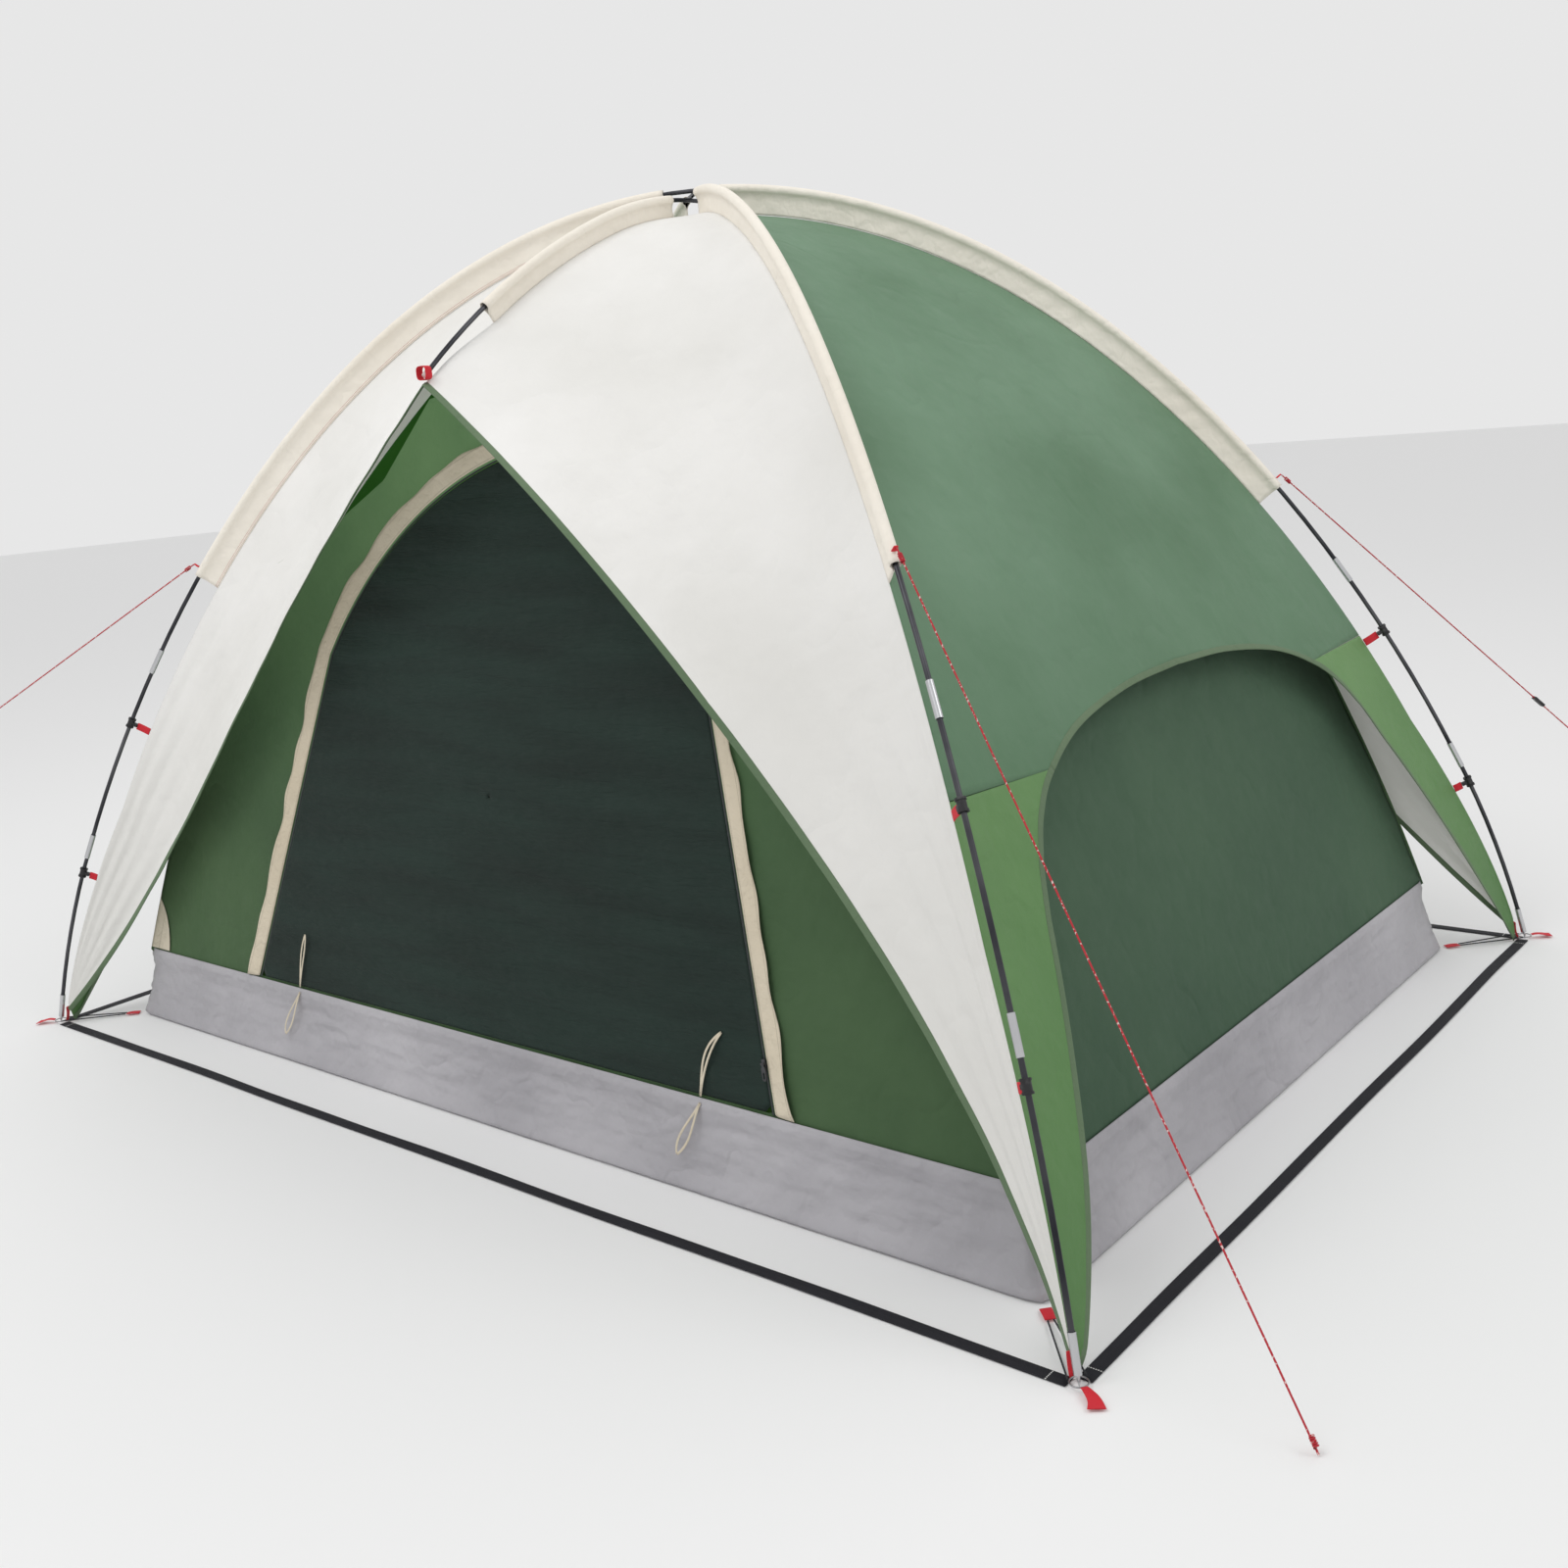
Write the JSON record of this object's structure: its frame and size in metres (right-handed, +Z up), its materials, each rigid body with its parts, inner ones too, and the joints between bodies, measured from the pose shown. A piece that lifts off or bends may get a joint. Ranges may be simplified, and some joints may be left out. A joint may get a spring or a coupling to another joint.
{
  "type": "dome tent",
  "caption": "Dome tent on crossed shock-corded poles and a ridge pole, with a pale outer fly, green side panels, an inner tent with a bathtub floor and a zipped door, and guy lines.",
  "frame": {"origin": "on the ground in the middle of the tent, half way between the pole feet", "axes": "+X to the right of someone standing in front and facing the door, +Y from the door to the back, +Z up"},
  "size_m": [3.5073, 2.7935, 1.8945],
  "materials": {
    "pole_tube": "dark anodised, satin",
    "shock_cord": "woven elastic cord",
    "ferrule_metal": "bare, brushed",
    "cap_plastic": "moulded, white",
    "sleeve_cloth": "cream woven cloth with two rows of stitches",
    "fly_cloth": "coated pale cloth",
    "hem_tape": "folded binding tape",
    "side_cloth": "coated green cloth",
    "leg_cloth": "coated yellowish green cloth",
    "clip_plastic": "moulded, black",
    "red_webbing": "red webbing",
    "ring_steel": "bent wire",
    "strap_webbing": "black webbing",
    "floor_cloth": "coated grey cloth, creased",
    "wall_cloth": "olive woven cloth",
    "roof_cloth": "bright green thin cloth",
    "door_mesh": "dark fine mesh, close woven",
    "zip_tape": "coil zip",
    "flap_cloth": "cream tape",
    "slider_metal": "black lacquer",
    "elastic_cord": "thin elastic cord",
    "guy_cord": "red braided cord with pale flecks"
  },
  "bodies": {
    "tent": {"bathtub_floor": "floor_cloth", "clip_tabs": "red_webbing", "corner_patch": "flap_cloth", "door_tie_loops": "flap_cloth", "door_zip": "zip_tape", "door_zip_flap": "flap_cloth", "floor_corner_elastics": "elastic_cord", "floor_corner_tabs": "red_webbing", "fly_back_left": "fly_cloth", "fly_back_right": "fly_cloth", "fly_front_left": "fly_cloth", "fly_front_right": "fly_cloth", "fly_side_left": "side_cloth", "fly_side_right": "side_cloth", "foot_ferrules": "ferrule_metal", "foot_pins": "ferrule_metal", "foot_pull_tabs": "red_webbing", "foot_rings": "ring_steel", "foot_webbing_stubs": "red_webbing", "guy_line_back_right": "guy_cord", "guy_line_front_left": "guy_cord", "guy_line_front_right": "guy_cord", "guy_line_loops": "red_webbing", "hem_binding_back": "hem_tape", "hem_binding_front": "hem_tape", "hem_binding_left": "hem_tape", "hem_binding_right": "hem_tape", "inner_back_wall": "wall_cloth", "inner_front_wall": "wall_cloth", "inner_hanging_elastics": "elastic_cord", "inner_left_wall": "wall_cloth", "inner_right_wall": "wall_cloth", "inner_roof": "roof_cloth", "leg_panel_back_left": "leg_cloth", "leg_panel_back_right": "leg_cloth", "leg_panel_front_left": "leg_cloth", "leg_panel_front_right": "leg_cloth", "pole_clips": "clip_plastic", "pole_ferrules": "ferrule_metal", "pole_front_left_to_back_right": "pole_tube", "pole_front_right_to_back_left": "pole_tube", "ridge_end_caps": "cap_plastic", "ridge_end_loops": "red_webbing", "ridge_pole": "pole_tube", "shock_cords": "shock_cord", "sleeve_back_left": "sleeve_cloth", "sleeve_back_right": "sleeve_cloth", "sleeve_front_left": "sleeve_cloth", "sleeve_front_right": "sleeve_cloth", "sleeve_ridge_back": "sleeve_cloth", "sleeve_ridge_front": "sleeve_cloth", "strap_back": "strap_webbing", "strap_front": "strap_webbing", "strap_left": "strap_webbing", "strap_right": "strap_webbing"},
    "door": {"door_panel": "door_mesh"},
    "zip_slider": {"zip_slider": "slider_metal"},
    "zip_pull": {"zip_pull": "slider_metal"},
    "guy_slider": {"guy_line_slider": "clip_plastic"}
  },
  "joints": [
    {"name": "door_hinge", "type": "hinge", "parent": "tent", "child": "door", "pos_m": [0, -0.8942, 0.1811], "axis": [1, 0, 0], "range_deg": [-76, 0]},
    {"name": "zip_slide", "type": "slide", "parent": "tent", "child": "zip_slider", "axis": [-0.2793, 0.2063, 0.9378], "range_m": [0, 0.6]},
    {"name": "zip_pull_hinge", "type": "hinge", "parent": "zip_slider", "child": "zip_pull", "pos_m": [0.77775, -0.88378, 0.26513], "axis": [0.9602, 0.06, 0.2727], "range_deg": [-150, 0]},
    {"name": "guy_slider_slide", "type": "slide", "parent": "tent", "child": "guy_slider", "axis": [0.4962, 0.5396, -0.6802], "range_m": [-0.5, 0.6]}
  ]
}
